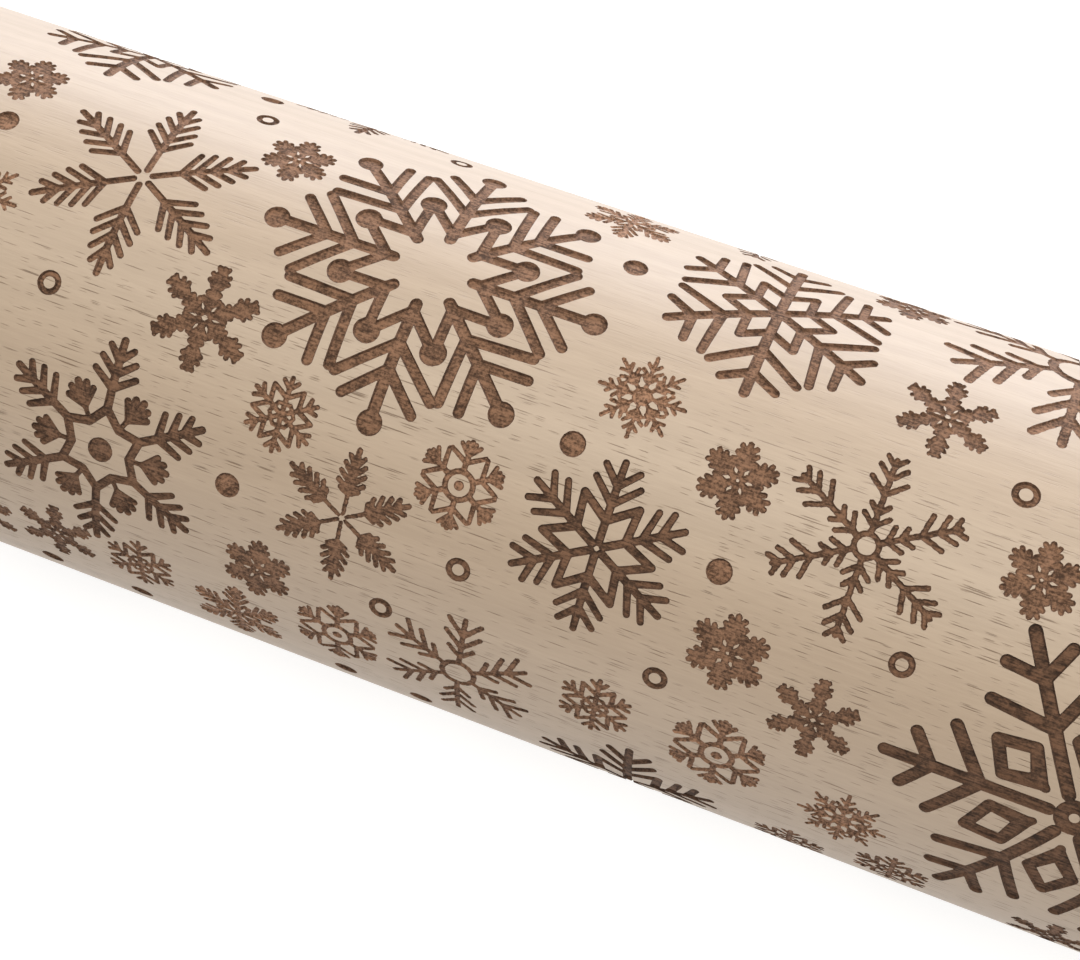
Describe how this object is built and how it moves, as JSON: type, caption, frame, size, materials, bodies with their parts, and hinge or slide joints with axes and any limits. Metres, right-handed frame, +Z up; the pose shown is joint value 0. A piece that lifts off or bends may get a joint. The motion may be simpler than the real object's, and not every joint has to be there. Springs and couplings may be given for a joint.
{
  "type": "embossed rolling pin",
  "caption": "Rolling pin with a snowflake-engraved wooden barrel that turns on ball bearings about a steel rod between two turned handles.",
  "frame": {"origin": "the point of the ground under the middle of the barrel, with the barrel lying on z = 0", "axes": "+X along the pin's axis, from the left handle to the right one; +Z up; +Y level, square to the pin"},
  "size_m": [0.434, 0.06, 0.06],
  "materials": {
    "beech": "fine-sanded raw beech, lightly oiled",
    "handle_beech": "turned beech, oiled",
    "steel": "ground carbon steel",
    "zinc_steel": "bright zinc plate",
    "cage_nylon": "natural nylon",
    "cap_nylon": "off-white nylon"
  },
  "bodies": {
    "axle": {"axle_rod": "steel", "spacer_tube": "zinc_steel", "thrust_collar_left": "steel", "thrust_collar_right": "steel", "handle_left": "handle_beech", "handle_right": "handle_beech", "washer_left": "zinc_steel", "washer_right": "zinc_steel", "handle_nut_left": "zinc_steel", "handle_nut_right": "zinc_steel", "handle_plug_left": "handle_beech", "handle_plug_right": "handle_beech", "bearing_inner_ring_left": "steel", "bearing_inner_ring_right": "steel"},
    "barrel": {"barrel": "beech", "bearing_outer_ring_left": "steel", "bearing_outer_ring_right": "steel", "bearing_shield_inner_left": "zinc_steel", "bearing_shield_inner_right": "zinc_steel", "bearing_shield_outer_left": "zinc_steel", "bearing_shield_outer_right": "zinc_steel", "barrel_cap_left": "cap_nylon", "barrel_cap_right": "cap_nylon"},
    "ball_set_left": {"bearing_cage_left": "cage_nylon", "bearing_balls_left": "steel"},
    "ball_set_right": {"bearing_cage_right": "cage_nylon", "bearing_balls_right": "steel"}
  },
  "joints": [
    {"name": "barrel_spin", "type": "hinge", "parent": "axle", "child": "barrel", "pos_m": [0, 0, 0.03], "axis": [1, 0, 0], "continuous": true},
    {"name": "ball_set_left_orbit", "type": "hinge", "parent": "axle", "child": "ball_set_left", "pos_m": [-0.1185, 0, 0.03], "axis": [1, 0, 0], "continuous": true},
    {"name": "ball_set_right_orbit", "type": "hinge", "parent": "axle", "child": "ball_set_right", "pos_m": [0.1185, 0, 0.03], "axis": [1, 0, 0], "continuous": true}
  ],
  "couplings": [
    {"joint": "ball_set_left_orbit", "follows": "barrel_spin", "ratio": 0.6323},
    {"joint": "ball_set_right_orbit", "follows": "barrel_spin", "ratio": 0.6323}
  ]
}
